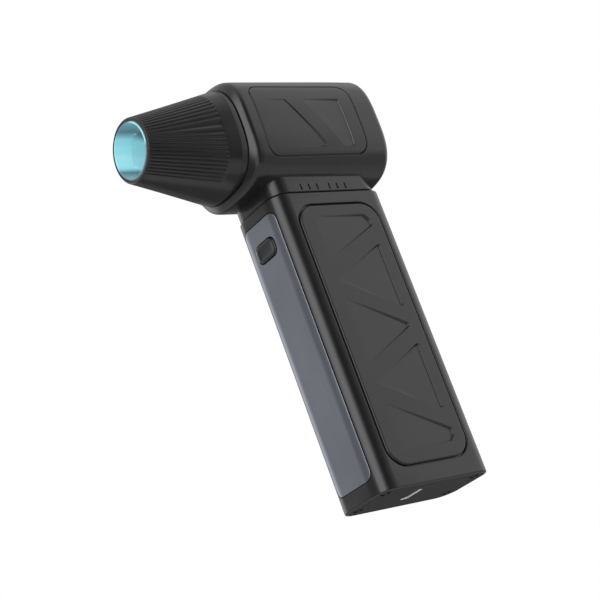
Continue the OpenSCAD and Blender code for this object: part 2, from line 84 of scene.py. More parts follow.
# head: a rounded square section, half size and squareness
AXIS_Z = (HEAD_LOW.z + HEAD_HIGH.z) / 2
HEAD_H = (HEAD_HIGH.z - HEAD_LOW.z) / 2
HEAD_N = 3.1
HEAD_WALL = 1.8
BACK_ROUND = 2.8
INTAKE_R = 13.2
LIP_X, LIP_H = -27.67, 16.45    # outer edge of the lip round the nozzle
LIP_BORE = 15.85
LIP_N = 2.6             # squareness at the lip
STRAIGHT = 9            # points along the straight part of its outline
LIP_RUN = 3             # length over which the lip's section turns into the head's
HEAD_TAPER = 0.45       # how much smaller the half size is at the front
TAPER_FROM, TAPER_RUN = 14, 38
BEZEL_TILT = 45         # degrees the surface has turned inwards at the lip
BEZEL_TURN = 40         # degrees at which its wide bend becomes a tight one
BEZEL_WIDE, BEZEL_TIGHT = 16.0, 2.3     # radii of the two bends

# nozzle and the light-coloured sleeve in it
SPIGOT_H = 15.6
CONE_X, CONE_H, CONE_N = NOZZLE_HIGH.x - 5.5, 15.9, 2.7
TIP_X, TIP_R = LINER_LOW.x, 9.65
TIP_WALL = 1.05
BORE_X, BORE_R = -30.0, 14.2
RIBS = 60
RIB_FRONT, RIB_BACK = -57.25, -33.5
RIB_LOW = 0.955         # how far down the sides the ribs reach, as the sine of the angle
RIB_DEPTH = 0.31
RIB_GROOVE = (1, 0.8, 0.3, 0.03, 0, 0, 0, 0.03, 0.3, 0.8)      # depth across a rib, from 0 to 1
RING_BACK, RING_FRONT = -27.93, -29.45
RING_H, RING_N = 16.03, 2.66            # ring between the head and the cone
SLEEVE_WALL = 0.4
SLEEVE_PROUD = 0.15     # how far its lip stands out of the nozzle
SLEEVE_LAND = 5.7       # length of its straight mouth

# neck
NECK_GAP = 0.3          # width of the groove between the neck and the handle
NECK_GROOVE = 0.75      # depth of that groove
NECK_INSET = 0.7        # how far the front of the neck stands behind the handle's

SCREW_R = 1.75

# inlay on each side of the head
INLAY_W, INLAY_R = 24, 4
INLAY_DEPTH = 0.75
INLAY_GAP = 0.22
INLAY_FALL = 0.45       # depth of its facets

# grip on each side of the handle
GRIP_W = GRIP_HIGH.x - GRIP_LOW.x
GRIP_H = GRIP_HIGH.z - GRIP_LOW.z
GRIP_MID = (GRIP_HIGH.z + GRIP_LOW.z) / 2
GRIP_R = 6.5
GRIP_PROUD = 0.25
GRIP_SINK = 0.9         # depth of the shell's recess
GRIP_FALL = 0.7         # how deep the triangles are at their right end
FACET_RIGHT = 11.4
GROOVE = 0.5            # width of the groove round the panel

# trim plate and button
TRIM_R = 2.8
TRIM_THICK = 0.9
TRIM_SINK = 0.95
TRIM_GAP = 0.2
BUTTON_GAP = 0.3
BUTTON_Z = 81.1
BUTTON_W, BUTTON_H, BUTTON_R = 9.2, 5.6, 2.0


# ---------------------------------------------------------------- outlines and relief

class Round:
    """A convex outline with round corners: all that lies within a radius of a core point, line or polygon."""

    def __init__(self, core, radius, steps=6):
        self.core = [np.array(p, float) for p in core]
        self.radius = radius
        self.steps = steps

    def loop(self, offset=0.0):
        """The outline's points, anticlockwise, with the outline grown by an offset."""
        reach = self.radius + offset
        count = len(self.core)
        if count == 1:
            turns = np.arange(8 * self.steps) * 2 * math.pi / (8 * self.steps)
            return [self.core[0] + reach * np.array([math.cos(a), math.sin(a)]) for a in turns]
        points = []
        for i, centre in enumerate(self.core):
            come = centre - self.core[i - 1]
            go = self.core[(i + 1) % count] - centre
            start = math.atan2(come[1], come[0]) - math.pi / 2
            sweep = (math.atan2(go[1], go[0]) - math.pi / 2 - start) % (2 * math.pi)
            if count == 2:
                sweep = math.pi
            pieces = max(2, round(self.steps * sweep / (math.pi / 2)))
            for k in range(pieces + 1):
                a = start + sweep * k / pieces
                points.append(centre + reach * np.array([math.cos(a), math.sin(a)]))
        return points

    def distance(self, points):
        """How far each point lies outside the outline; it is negative inside."""
        if len(self.core) == 1:
            return np.linalg.norm(points - self.core[0], axis=1) - self.radius
        nearest = np.full(len(points), np.inf)
        outside = np.full(len(points), -np.inf)
        for i, a in enumerate(self.core):
            edge = self.core[(i + 1) % len(self.core)] - a
            along = np.clip((points - a) @ edge / (edge @ edge), 0, 1)
            nearest = np.minimum(nearest, np.linalg.norm(points - a - along[:, None] * edge, axis=1))
            across = ((points - a) @ np.array([edge[1], -edge[0]])) / np.linalg.norm(edge)
            outside = np.maximum(outside, across)
        if len(self.core) > 2:
            nearest = np.where(outside < 0, outside, nearest)
        return nearest - self.radius


def box_outline(u, v, width, height, radius, steps=8):
    """A rounded rectangle about a middle point."""
    a, b = width / 2 - radius, height / 2 - radius
    return Round([(u - a, v - b), (u + a, v - b), (u + a, v + b), (u - a, v + b)], radius, steps)


def polygon_outline(points, radius, steps=5):
    """A convex polygon, anticlockwise, with its corners rounded off."""
    core = []
    for i, p in enumerate(points):
        p = np.array(p, float)
        come = p - np.array(points[i - 1], float)
        go = np.array(points[(i + 1) % len(points)], float) - p
        come, go = come / np.linalg.norm(come), go / np.linalg.norm(go)
        inward = go - come
        half = math.acos(np.clip(-come @ go, -1, 1)) / 2
        core.append(p + inward / np.linalg.norm(inward) * radius / math.sin(half))
    return Round(core, radius, steps)


class Relief:
    """A raised or sunken area: height is a function of the distance from its outline."""

    def __init__(self, outline, knots, depth=None, cut=False):
        self.outline = outline
        self.knots = sorted(knots)
        self.depth = depth          # optional factor, a function of the points
        self.cut = cut              # the area within the last knot is a hole

    def loops(self):
        for part in getattr(self.outline, "parts", [self.outline]):
            for offset, _ in self.knots:
                yield part.loop(offset)

    def height(self, points):
        away = self.outline.distance(points)
        level = np.interp(away, [k[0] for k in self.knots], [k[1] for k in self.knots])
        return level * (self.depth(points) if self.depth else 1)

    def hole(self, points):
        return self.outline.distance(points) < self.knots[0][0] + NEAR


def quarter(steps):
    """Sine and cosine at equal steps over a quarter turn."""
    return [(math.sin(a), math.cos(a)) for a in (math.pi / 2 * k / steps for k in range(steps + 1))]


def ease(t):
    """From 0 to 1 with level ends."""
    return t * t * (3 - 2 * t)


def soft_step(width, fall, steps=6):
    """Knots of a slope that is rounded at its top and its foot, level at both ends."""
    knots = [(width / 2 + HOLD, 0.0), (-width / 2 - HOLD, -fall)]
    return knots + [(width / 2 - width * k / steps, -fall * ease(k / steps)) for k in range(steps + 1)]


def edge_step(radius, fall, steps=4, run=0.03):
    """Knots of a steep wall going down by fall, with a rounded top edge of a radius outside the outline."""
    knots = [(radius * (1 - sin), -radius * (1 - cos)) for sin, cos in quarter(steps)]
    return [(radius + HOLD, 0.0), *knots, (-run, -fall)]


def plate_edge(radius, fall, steps=4, run=0.02):
    """Knots of a plate's outer edge: level inside, rounded, then straight down to its back."""
    knots = [(-radius - run + radius * sin, -radius * (1 - cos)) for sin, cos in quarter(steps)]
    return [(-radius - run - HOLD, 0.0), *knots, (0.0, -fall)]


def cut_pattern(u_range, v_range, u_lines, v_lines, loops):
    """A flat rectangle cut into triangles along lines across it, along it and round loops."""
    points, edges = [], []

    def chain(row, closed):
        first = len(points)
        points.extend(Vector((float(p[0]), float(p[1]))) for p in row)
        edges.extend((first + k, first + k + 1) for k in range(len(row) - 1))
        if closed:
            edges.append((first + len(row) - 1, first))

    for u in sorted({*u_range, *u_lines}):
        chain([(u, v_range[0]), (u, v_range[1])], False)
    for v in sorted({*v_range, *v_lines}):
        chain([(u_range[0], v), (u_range[1], v)], False)
    for loop in loops:
        chain(loop, True)
    flat, _, faces, *_ = delaunay_2d_cdt(points, edges, [], 1, 1e-4, False)
    return np.array([tuple(p) for p in flat]), [list(f) for f in faces]


def keep_faces(flat, faces, test):
    """Only the faces whose middle passes a test."""
    middles = np.array([flat[f].mean(axis=0) for f in faces])
    passed = test(middles)
    return [f for f, good in zip(faces, passed) if good]


# ---------------------------------------------------------------- pieces

def piece(name, patches, material, replaces, body="root", sharp=SMOOTH):
    """Joins patches of points and faces into one closed mesh object that stands for CAD nodes."""
    form = bmesh.new()
    for points, faces in patches:
        verts = [form.verts.new(tuple(p)) for p in points]
        for face in faces:
            form.faces.new([verts[i] for i in face])
    bmesh.ops.remove_doubles(form, verts=form.verts, dist=MERGE)
    bmesh.ops.delete(form, geom=[v for v in form.verts if not v.link_faces], context="VERTS")
    bmesh.ops.recalc_face_normals(form, faces=form.faces)
    form.transform(Matrix.Scale(MM, 4))
    for edge in form.edges:
        edge.smooth = not (edge.is_manifold and edge.calc_face_angle(0) > sharp)
    for face in form.faces:
        face.smooth = True
    mesh = bpy.data.meshes.new(name)
    form.to_mesh(mesh)
    form.free()
    obj = bpy.data.objects.new(name, mesh)
    bpy.context.scene.collection.objects.link(obj)
    obj.data.materials.append(material)
    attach(obj, body)
    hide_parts(*replaces)
    return obj


def plate(outline, features, place, back, u_lines=(), v_lines=()):
    """A panel: a face with relief over a back at one level. place(points, height) sets it in space."""
    edge, *rest = features
    rim = edge.outline.loop(0)
    low, high = np.min(rim, axis=0) - 1, np.max(rim, axis=0) + 1
    loops = [loop for feature in features for loop in feature.loops()]
    flat, faces = cut_pattern((low[0], high[0]), (low[1], high[1]), u_lines, v_lines, loops)

    def inside(points):
        good = outline.distance(points) < 0
        for feature in rest:
            if feature.cut:
                good &= ~feature.hole(points)
        return good

    faces = keep_faces(flat, faces, inside)
    height = np.maximum(sum(feature.height(flat) for feature in features), back)
    top = place(flat, height)
    under = place(flat, np.full(len(flat), float(back)))
    return [(top, faces), (under, [f[::-1] for f in faces])]


def grid(rows, wrap_rows=True, wrap_cols=True):
    """Faces through rows of points, closed into a tube or a ring where asked."""
    rows = np.array(rows, float)
    m, n = rows.shape[:2]
    faces = []
    for i in range(m if wrap_rows else m - 1):
        for j in range(n if wrap_cols else n - 1):
            a, b = i * n + j, i * n + (j + 1) % n
            c, d = (i + 1) % m * n + (j + 1) % n, (i + 1) % m * n + j
            faces.append([a, b, c, d])
    return rows.reshape(-1, 3), faces


def turned(profile, steps=96):
    """A closed profile of (x, radius) points turned about the head's axis."""
    turns = np.arange(steps) * 2 * math.pi / steps
    rows = [[(x, r * math.cos(a), AXIS_Z + r * math.sin(a)) for a in turns] for x, r in profile]
    return grid(rows)


def rounded_profile(points, radius, steps=4):
    """A closed profile with each corner rounded, by a radius or less where the sides are short."""
    result = []
    count = len(points)
    for i, p in enumerate(points):
        p = np.array(p, float)
        before, after = np.array(points[i - 1], float) - p, np.array(points[(i + 1) % count], float) - p
        reach = min(radius, 0.45 * np.linalg.norm(before), 0.45 * np.linalg.norm(after))
        a = p + before / np.linalg.norm(before) * reach
        b = p + after / np.linalg.norm(after) * reach
        for k in range(steps + 1):
            t = k / steps
            result.append((1 - t) ** 2 * a + 2 * t * (1 - t) * p + t * t * b)
    return result


# ---------------------------------------------------------------- handle surface

A, B = HALF_X - CORNER, HALF_Y - CORNER
QUARTER = math.pi / 2 * CORNER
STATIONS = np.cumsum([0, B, QUARTER, 2 * A, QUARTER, 2 * B, QUARTER, 2 * A, QUARTER, B])
ROUND_ABOUT = STATIONS[-1]
NEAR_MID = STATIONS[2] + A          # middle of the -Y side
FRONT_MID = STATIONS[4] + B         # middle of the front, which faces -X
FAR_MID = STATIONS[6] + A           # middle of the +Y side
ARC_STEPS = 12


def belt(u, radius=CORNER):
    """Points and outward normals at a distance round the handle, starting at the middle of its back."""
    x = np.interp(u, STATIONS, [A, A, A, -A, -A, -A, -A, A, A, A])
    y = np.interp(u, STATIONS, [0, -B, -B, -B, -B, B, B, B, B, 0])
    turn = np.radians(np.interp(u, STATIONS, [0, 0, -90, -90, -180, -180, -270, -270, -360, -360]))
    normal = np.stack([np.cos(turn), np.sin(turn)], axis=1)
    return np.stack([x, y], axis=1) + radius * normal, normal


def belt_lines():
    """Lines up the handle that its round corners need."""
    lines = list(STATIONS)
    for start in STATIONS[1::2][:4]:
        lines += [start + QUARTER * k / ARC_STEPS for k in range(1, ARC_STEPS)]
    return lines


def round_path(path):
    """Distances along a path of points, with those points as columns."""
    path = np.array(path, float)
    steps = np.linalg.norm(np.diff(path, axis=0), axis=1)
    return np.concatenate([[0], np.cumsum(steps)]), path


# ---------------------------------------------------------------- head surface

def super_point(turn, half, power):
    """Points of a rounded square at an angle; power 2 is a circle."""
    c, s = np.cos(turn), np.sin(turn)
    return (half * np.sign(c) * np.abs(c) ** (2 / power), half * np.sign(s) * np.abs(s) ** (2 / power))


def head_half(x):
    """Half size of the head at x: it tapers slightly towards the nozzle."""
    return HEAD_H - HEAD_TAPER * np.clip((TAPER_FROM - x) / TAPER_RUN, 0, 1)


def side_depth(w, half=HEAD_H, power=HEAD_N):
    """Half width of the section at a height w above the head's axis, with the outward normal there."""
    w = np.clip(w, -half * 0.999, half * 0.999)
    y = half * (1 - np.abs(w / half) ** power) ** (1 / power)
    normal = np.stack([y ** (power - 1), np.sign(w) * np.abs(w) ** (power - 1)], axis=1)
    return y, normal / np.linalg.norm(normal, axis=1)[:, None]


def squareness_at(x):
    """Squareness of the head's section, which is rounder at the lip."""
    return float(LIP_N + (HEAD_N - LIP_N) * np.clip((x - LIP_X) / (LIP_RUN - 0.1), 0, 1))


def head_path():
    """Outline of the head along X, as x, half size and squareness: outside from the lip back, then inside."""
    path = [(LIP_X + 0.3, LIP_BORE), (LIP_X + 0.1, LIP_BORE), (LIP_X - 0.03, LIP_BORE + 0.13),
            (LIP_X - 0.06, LIP_BORE + 0.25)]

    def bend(radius, high, low):
        """Goes on from the last point round a bend between two tilts in degrees."""
        x, h = path[-1]
        top, steps = math.radians(high), 8
        for k in range(1, steps + 1):
            a = math.radians(high + (low - high) * k / steps)
            path.append((x + radius * (math.sin(top) - math.sin(a)),
                         h + radius * (math.cos(a) - math.cos(top))))

    edge, tilt = 0.12, math.radians(BEZEL_TILT)
    for k in range(5):
        a = math.radians(90 - (90 - BEZEL_TILT) * k / 4)
        path.append((LIP_X + edge * (math.sin(tilt) - math.sin(a)),
                     LIP_H + edge * (math.cos(a) - math.cos(tilt))))
    bend(BEZEL_WIDE, BEZEL_TILT, BEZEL_TURN)
    bend(BEZEL_TIGHT, BEZEL_TURN, 0)
    last, full = path[-1]
    path.append((last + HOLD, full))
    path += [(x, full) for x in np.linspace(last + HOLD + 1.5, HEAD_HIGH.x - BACK_ROUND - HOLD, STRAIGHT)]
    path += [(HEAD_HIGH.x - BACK_ROUND * (1 - sin), full - BACK_ROUND * (1 - cos))
             for sin, cos in quarter(12)]
    share = [float(np.clip((x - LIP_X) / LIP_RUN, 0, 1)) for x, _ in path]
    path = [(x, float(h + (head_half(x) - full) * t), squareness_at(x)) for (x, h), t in zip(path, share)]
    mouth = 0.35
    rim = [(HEAD_HIGH.x, HEAD_H - BACK_ROUND - HOLD, HEAD_N), (HEAD_HIGH.x, INTAKE_R + mouth + HOLD, 2.0)]
    rim += [(HEAD_HIGH.x - mouth * (1 - cos), INTAKE_R + mouth * (1 - sin), 2.0) for sin, cos in quarter(4)]
    back, wall = HEAD_HIGH.x - HEAD_WALL, HEAD_H - HEAD_WALL
    inside = [(back, INTAKE_R, 2.0), (back, wall - 1, HEAD_N), (back - 1, wall, HEAD_N),
              (LIP_X + 5.4, wall - 0.5, HEAD_N), (LIP_X + 2.4, LIP_BORE, LIP_N),
              (LIP_X + 0.3, LIP_BORE, LIP_N)]
    return path + rim + inside


def inlay_outline(grow=0.0):
    middle = (INLAY_LOW.x + INLAY_HIGH.x) / 2
    length = INLAY_HIGH.x - INLAY_LOW.x
    return box_outline(middle, 0, length + 2 * grow, INLAY_W + 2 * grow, INLAY_R + grow)


def make_head(material):
    """Head shell: a rounded square tube with a recess for the inlay on each side."""
    steps = 128
    path = np.array(head_path())
    reach = np.abs(np.diff(path[:, 0])) + np.abs(np.diff(path[:, 1]))
    v = np.concatenate([[0], np.cumsum(reach)])
    full = int(np.argmax(path[:, 0] > LIP_X + LIP_RUN))
    straight = slice(full, full + STRAIGHT)
    turn_scale = 20.0               # millimetres of pattern for a radian
    start = -math.pi / 2            # the seam of the pattern runs along the bottom of the head

    def on_pattern(x, w, side):
        """Place on the pattern of a point of the side, from x and its height above the axis."""
        rise = math.asin(min(1, (abs(w) / head_half(x)) ** (HEAD_N / 2))) * (1 if w > 0 else -1)
        turn = math.pi - rise if side < 0 else rise
        return np.interp(x, path[straight, 0], v[straight]), (turn - start) % (2 * math.pi) * turn_scale

    recess = edge_step(0.16, INLAY_DEPTH + 0.02, steps=3, run=0.04)
    opening = inlay_outline(INLAY_GAP)
    loops = [[on_pattern(*p, side) for p in opening.loop(offset)] for side in (-1, 1) for offset, _ in recess]
    u_lines = [float(t) * turn_scale for t in np.linspace(0, 2 * math.pi, steps + 1)]
    flat, faces = cut_pattern((v[0], v[-1]), (0, u_lines[-1]), list(v), u_lines, loops)
    x = np.interp(flat[:, 0], v, path[:, 0])
    half = np.interp(flat[:, 0], v, path[:, 1])
    power = np.interp(flat[:, 0], v, path[:, 2])
    turn = flat[:, 1] / turn_scale + start
    y, w = super_point(turn, half, power)
    outer = (flat[:, 0] > v[0] + 4) & (x < INLAY_HIGH.x + 1) & (flat[:, 0] < v[full + 12])
    away = opening.distance(np.stack([x, w], axis=1))
    knots = sorted(recess)
    sink = np.interp(away, [k[0] for k in knots], [k[1] for k in knots])
    sink = np.where(outer & (np.abs(w) < HEAD_H * 0.8), sink, 0)
    _, normal = side_depth(w, half)
    y = y + np.sign(y) * sink * normal[:, 0]
    w = w + sink * normal[:, 1]
    points = np.stack([x, y, AXIS_Z + w], axis=1)
    return piece("head_body", [(points, faces)], material, replaces=["head_shell"])


def slope(left, right):
    """How far a facet has sunk: nothing at its left, all of its fall at its right."""
    def depth(points):
        return np.clip((points[:, 0] - left) / (right - left), 0, 1)
    return depth


def from_line(a, b, reach):
    """How far a facet has sunk: nothing on the line from a to b, all of its fall at a reach to its right."""
    a, b = np.array(a), np.array(b)
    across = np.array([b[1] - a[1], a[0] - b[0]]) / np.linalg.norm(b - a)

    def depth(points):
        return np.clip(((points - a) @ across) / reach, 0, 1)
    return depth


def make_inlay(name, node, side, material):
    """Thin panel on the side of the head, with two sunken facets."""
    top, low = 6.6, -9.5
    first = polygon_outline([(-19.2, low), (0.7, low), (-10.0, top), (-19.2, top)], 0.5)
    second = polygon_outline([(6.9, low), (11.2, low), (10.9, top), (-3.2, top)], 0.5)
    outline = inlay_outline()
    features = [Relief(outline, plate_edge(0.28, INLAY_DEPTH, steps=4)),
                Relief(first, soft_step(0.5, INLAY_FALL), slope(-16.0, 0.7)),
                Relief(second, soft_step(0.5, INLAY_FALL), from_line((6.9, low), (-3.2, top), 4.5))]

    def place(points, height):
        y, normal = side_depth(points[:, 1], head_half(points[:, 0]))
        return np.stack([points[:, 0], side * (y + height * normal[:, 0]),
                         AXIS_Z + points[:, 1] + height * normal[:, 1]], axis=1)

    w_lines = [float(w) for w in np.arange(-12.75, 13, 0.75)]
    patches = plate(outline, features, place, -INLAY_DEPTH, v_lines=w_lines)
    return piece(name, patches, material, replaces=[node])


def make_handle(material):
    """Handle shell: a rounded tube with recesses for the grips and the trim, and a hole for the button."""
    edge = 0.4
    path = [(0, edge), (0, edge + HOLD), (0, SEAM_Z - edge - HOLD)]
    path += [(-edge * (1 - cos), SEAM_Z - edge * (1 - sin)) for sin, cos in quarter(5)]
    path += [(-edge - HOLD, SEAM_Z), (-WALL, SEAM_Z), (-WALL, CAP_HIGH.z), (-SKIRT, CAP_HIGH.z), (-SKIRT, 0),
             (-edge - HOLD, 0)]
    path += [(-edge * (1 - sin), edge * (1 - cos)) for sin, cos in quarter(5)]
    v, path = round_path(path)
    v = v + edge                                        # on the outside, v is z
    inside_top = float(v[np.argmax((path[:, 0] == -WALL))])

    grip = box_outline(0, GRIP_MID, GRIP_W + 2 * GROOVE, GRIP_H + 2 * GROOVE, GRIP_R + GROOVE)
    recess = edge_step(0.35, GRIP_SINK, run=0.06)
    opening = edge_step(0.1, WALL - TRIM_SINK, steps=2)
    hole = Relief(button_outline(BUTTON_GAP), opening, cut=True)
    features = [
        Relief(shifted(grip, NEAR_MID), recess),
        Relief(shifted(grip, FAR_MID), recess),
        Relief(trim_outline(TRIM_GAP), edge_step(0.12, TRIM_SINK, steps=3, run=0.04)),
        hole]
    inner = box_outline(FRONT_MID, inside_top + SEAM_Z - BUTTON_Z, BUTTON_W + 2 * BUTTON_GAP,
                        BUTTON_H + 2 * BUTTON_GAP, BUTTON_R + BUTTON_GAP)
    run = opening[-1][0]
    loops = [loop for feature in features for loop in feature.loops()] + [inner.loop(run)]
    flat, faces = cut_pattern((0, ROUND_ABOUT), (v[0], v[-1]), belt_lines(), list(v), loops)
    faces = keep_faces(flat, faces, lambda p: ~hole.hole(p) & (inner.distance(p) > run - NEAR))
    side, normal = belt(flat[:, 0])
    height = np.interp(flat[:, 1], v, path[:, 0]) + sum(f.height(flat) for f in features)
    z = np.interp(flat[:, 1], v, path[:, 1])
    points = np.column_stack([side + normal * height[:, None], z])
    return piece("handle_body", [(points, faces)], material, replaces=["handle_shell"])


def shifted(outline, u):
    """The outline moved round the handle."""
    return Round([p + np.array([u, 0]) for p in outline.core], outline.radius, outline.steps)


def trim_outline(grow=0.0):
    """Outline of the trim plate on the unrolled handle; its edges wrap onto the round corners."""
    half = B + CORNER * math.asin((TRIM_HIGH.y - B) / CORNER)
    height = TRIM_HIGH.z - TRIM_LOW.z
    return box_outline(FRONT_MID, TRIM_LOW.z + height / 2, 2 * (half + grow), height + 2 * grow,
                       TRIM_R + grow)


def button_outline(grow=0.0):
    return box_outline(FRONT_MID, BUTTON_Z, BUTTON_W + 2 * grow, BUTTON_H + 2 * grow, BUTTON_R + grow)


def make_trim(material):
    """Metal trim plate that covers the front and laps onto the corners."""
    outline = trim_outline()
    features = [Relief(outline, plate_edge(0.15, TRIM_THICK, steps=3)),
                Relief(button_outline(BUTTON_GAP), edge_step(0.22, TRIM_THICK), cut=True)]

    def place(points, height):
        side, normal = belt(points[:, 0])
        return np.column_stack([side + normal * height[:, None], points[:, 1]])

    patches = plate(outline, features, place, -TRIM_THICK, u_lines=belt_lines())
    return piece("trim_plate", patches, material, replaces=["front_trim_plate"])


def grip_facets():
    """The five sunken triangles of a grip panel, from the lowest to the highest."""
    left, right, pitch, half = -9.6, FACET_RIGHT, 16.7, 10.7
    nip = 1.9                       # what the corners of the outer triangles lose
    middle = GRIP_MID + 0.35
    facets = []
    for way in (-1, 1):
        end, near = middle + way * 37.4, middle + way * 23.4
        far = [(left, end), (right - nip, end), (right, end - way * nip), (right, end - way * 3.6),
               (left, near)]
        facets.append(far if way < 0 else far[::-1])
        z = middle + way * pitch
        facets.append([(right, z - half), (right, z + half), (left, z)])
    facets.append([(left - 1, middle + half), (left - 1, middle - half), (right, middle)])
    return [polygon_outline(order(f), 0.7) for f in facets]


def order(points):
    """The points anticlockwise."""
    area = sum(a[0] * b[1] - b[0] * a[1] for a, b in zip(points, points[1:] + points[:1]))
    return points if area > 0 else points[::-1]


def make_grip(name, node, side, material):
    """Grip panel on the side of the handle: a rounded slab with sunken triangles."""
    thick = GRIP_PROUD + GRIP_SINK - 0.05
    outline = box_outline(0, GRIP_MID, GRIP_W, GRIP_H, GRIP_R)
    features = [Relief(outline, plate_edge(0.55, thick, steps=6))]
    features += [Relief(facet, soft_step(0.55, GRIP_FALL), slope(-10.0, FACET_RIGHT))
                 for facet in grip_facets()]

    def place(points, height):
        y = side * (HALF_Y + GRIP_PROUD + height)
        return np.column_stack([points[:, 0], y, points[:, 1]])

    patches = plate(outline, features, place, -thick)
    return piece(name, patches, material, replaces=[node])


def make_collar(material):
    """Neck between the handle and the head, with a row of slits on each side and a leaning back."""
    foot = SEAM_Z + NECK_GAP
    natural, blend = foot + 3.6, 0.7        # the top, and what of it gives way to follow the head
    rest = SEAM_Z + 0.01                    # it stands on the handle behind a groove
    edge = 0.25
    setback, lean = 1.4, math.tan(math.radians(12))
    path = [(0, foot + edge), (0, foot + edge + HOLD), (0, natural - blend), (0, natural), (-WALL, natural),
            (-WALL, rest), (-NECK_GROOVE, rest), (-NECK_GROOVE, foot), (-edge - HOLD, foot)]
    path += [(-edge * (1 - sin), foot + edge * (1 - cos)) for sin, cos in quarter(4)]
    v, path = round_path(path)
    v = v + foot + edge
    slit_low, slit_high, slit_r, pitch = foot + 0.55, foot + 2.6, 0.25, 3.15
    slits = []
    for middle in (-7.2, 3.8):
        for k in (-1, 0, 1):
            x = middle + k * pitch
            for u in (NEAR_MID - x, FAR_MID + x):
                outline = Round([(u, slit_low + slit_r), (u, slit_high - slit_r)], slit_r, 4)
                slits.append(Relief(outline, edge_step(0.1, 1.5, steps=3)))
    loops = [loop for slit in slits for loop in slit.loops()]
    flat, faces = cut_pattern((0, ROUND_ABOUT), (v[0], v[-1]), belt_lines(), list(v), loops)
    side, normal = belt(flat[:, 0])
    height = np.interp(flat[:, 1], v, path[:, 0]) + sum(s.height(flat) for s in slits)
    z = np.interp(flat[:, 1], v, path[:, 1])
    half = head_half(side[:, 0])
    underside = AXIS_Z - half * (1 - (np.abs(side[:, 1]) / half) ** HEAD_N) ** (1 / HEAD_N)
    rise = np.clip((z - (natural - blend)) / blend, 0, 1)
    z = z + rise * (underside + 0.15 - natural)
    spot = side + normal * height[:, None]
    behind, ahead = (np.clip((way * side[:, 0] - start) / (A - start), 0, 1)
                     for way, start in ((1, 10), (-1, 12)))
    spot[:, 0] += ahead * NECK_INSET - behind * (setback + (z - foot) * lean)
    points = np.column_stack([spot, z])
    return piece("neck", [(points, faces)], material, replaces=["neck_collar"])


def make_button(material):
    """Power button: a rounded key with a flange behind the shell and a stem that reaches the switch."""
    top, flange = BUTTON_LOW.x, -HALF_X + 2.1
    edge = 0.5
    rows = [(-edge - 1.2, top + 0.12), (-edge - 0.7, top + 0.06), (-edge - 0.3, top)]
    rows += [(-edge * (1 - sin), top + edge * (1 - cos)) for sin, cos in quarter(6)]
    rows += [(0, flange), (1.1, flange), (1.1, flange + 0.8)]
    rings = [[(x, p[0] - FRONT_MID, p[1]) for p in button_outline().loop(offset)] for offset, x in rows]
    points, faces = grid(rings, wrap_rows=False)
    count = len(rings[0])
    faces.append(list(range(count)))
    faces.append(list(range(len(points) - count, len(points)))[::-1])
    sides, radius = 32, 1.4
    turns = np.arange(sides) * 2 * math.pi / sides
    stem = [[(x, radius * math.cos(a), BUTTON_Z + radius * math.sin(a)) for a in turns]
            for x in (flange + 0.78, BUTTON_HIGH.x)]
    stem_points, stem_faces = grid(stem, wrap_rows=False)
    stem_faces += [list(range(sides)), list(range(sides, 2 * sides))[::-1]]
    patches = [(points, faces), (stem_points, stem_faces)]
    return piece("power_key", patches, material, replaces=["power_button"],
                 body="button")


def make_cap(material):
    """Bottom cap with the charging socket's mouth and four screw recesses."""
    width, depth, thick = CAP_HIGH - CAP_LOW
    outline = box_outline(0, 0, width, depth, 4.7)
    features = [Relief(outline, plate_edge(0.25, thick, steps=3)),
                Relief(usb_outline(0.15), edge_step(0.25, thick), cut=True)]
    features += [Relief(Round([spot], SCREW_R + 0.15), edge_step(0.2, 1.2, steps=3))
                 for spot in screw_spots()]

    def place(points, height):
        return np.column_stack([points, -height])

    patches = plate(outline, features, place, -thick)
    return piece("base_cap", patches, material, replaces=["bottom_cap"])


def screw_spots():
    x, y = SCREW_HIGH.x - SCREW_R, SCREW_HIGH.y - SCREW_R
    return [(i * x, j * y) for i in (-1, 1) for j in (-1, 1)]


def usb_outline(grow=0.0):
    x = (USB_LOW.x + USB_HIGH.x) / 2
    radius = (USB_HIGH.x - USB_LOW.x) / 2
    reach = (USB_HIGH.y - USB_LOW.y) / 2 - radius
    return Round([(x, -reach), (x, reach)], radius + grow, 8)


def make_screws(material):
    """Four sunk screws with a cross in each head."""
    top, back, arm = 0.4, 1.3, 0.85

    def place(points, height):
        return np.column_stack([points, top - height])

    patches = []
    for x, y in screw_spots():
        cross = Joined([Round([(x - i, y - j), (x + i, y + j)], 0.22, 3) for i, j in ((arm, 0), (0, arm))])
        outline = Round([(x, y)], SCREW_R)
        features = [Relief(outline, plate_edge(0.35, back - top, steps=4)),
                    Relief(cross, edge_step(0.06, 0.6, steps=2))]
        patches += plate(outline, features, place, -(back - top))
    return piece("base_screws", patches, material, replaces=["bottom_screws"])


class Joined:
    """Several outlines as one."""

    def __init__(self, parts):
        self.parts = parts

    def distance(self, points):
        return np.min([part.distance(points) for part in self.parts], axis=0)


def make_socket(material):
    """Shell of the charging socket: a thin tube with a rolled lip."""
    wall, mouth = 0.3, USB_LOW.z
    rows = [(0, USB_HIGH.z), (0, mouth + 0.22), (-0.04, mouth + 0.07), (-0.15, mouth), (-0.26, mouth + 0.07),
            (-wall, mouth + 0.22), (-wall, USB_HIGH.z)]
    rings = [[(p[0], p[1], z) for p in usb_outline().loop(offset)] for offset, z in rows]
    return piece("socket_shell", [grid(rings)], material, replaces=["usb_socket"])


# ---------------------------------------------------------------- nozzle

def cone_size(x):
    """Half size of the nozzle's cone at x."""
    return CONE_H + (TIP_R - CONE_H) * (CONE_X - x) / (CONE_X - TIP_X)


def squareness(x):
    return CONE_N - (CONE_N - 2) * np.clip((CONE_X - x) / (CONE_X - TIP_X), 0, 1)


def cone_row(x, rib=0):
    """Row of the nozzle at x on its cone: x, half size, squareness and share of the ribs' depth."""
    return x, cone_size(x), squareness(x), rib


